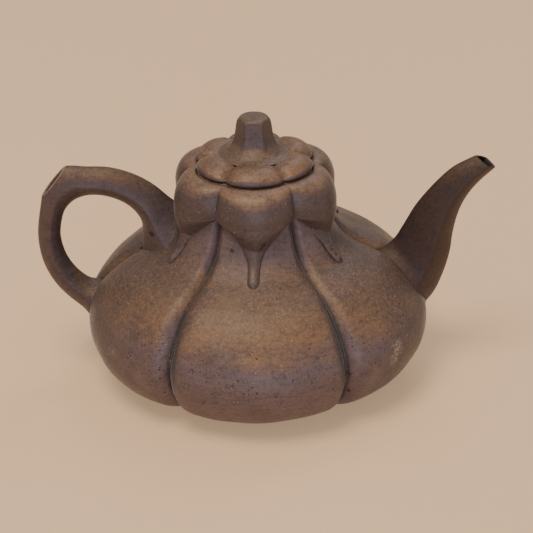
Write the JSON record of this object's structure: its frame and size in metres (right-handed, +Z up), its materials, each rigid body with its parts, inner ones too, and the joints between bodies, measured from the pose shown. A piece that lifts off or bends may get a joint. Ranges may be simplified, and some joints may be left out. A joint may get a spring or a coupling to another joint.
{
  "type": "yixing clay teapot",
  "caption": "Lobed stoneware teapot shaped like a ripe melon, with a collared neck, curved spout, ear handle and lift-off lid.",
  "frame": {"origin": "centre of the foot's resting face", "axes": "+Z up, +X towards the spout, -X towards the handle, -Y towards the viewer"},
  "size_m": [0.173, 0.132, 0.1032],
  "materials": {
    "purple_brown_clay": "unglazed fired stoneware, burnished and rubbed to a low sheen",
    "hand_worn_clay": "the same stoneware, worn smoother where hands hold it",
    "unrubbed_clay": "the same stoneware, matte where it was never rubbed"
  },
  "bodies": {
    "pot": {"calyx_collar": "purple_brown_clay", "calyx_tail_1": "purple_brown_clay", "calyx_tail_2": "purple_brown_clay", "calyx_tail_3": "purple_brown_clay", "calyx_tail_4": "purple_brown_clay", "calyx_tail_5": "purple_brown_clay", "calyx_tail_6": "purple_brown_clay", "foot_slab": "unrubbed_clay", "handle": "hand_worn_clay", "mouth_ring": "unrubbed_clay", "pot_body": "purple_brown_clay", "spout": "purple_brown_clay"},
    "lid": {"lid_plate": "purple_brown_clay", "lid_flange": "unrubbed_clay", "lid_knob": "hand_worn_clay"}
  },
  "joints": [
    {"name": "lid_lift", "type": "slide", "parent": "pot", "child": "lid", "axis": [0, 0, 1], "range_m": [0, 0.035]}
  ]
}
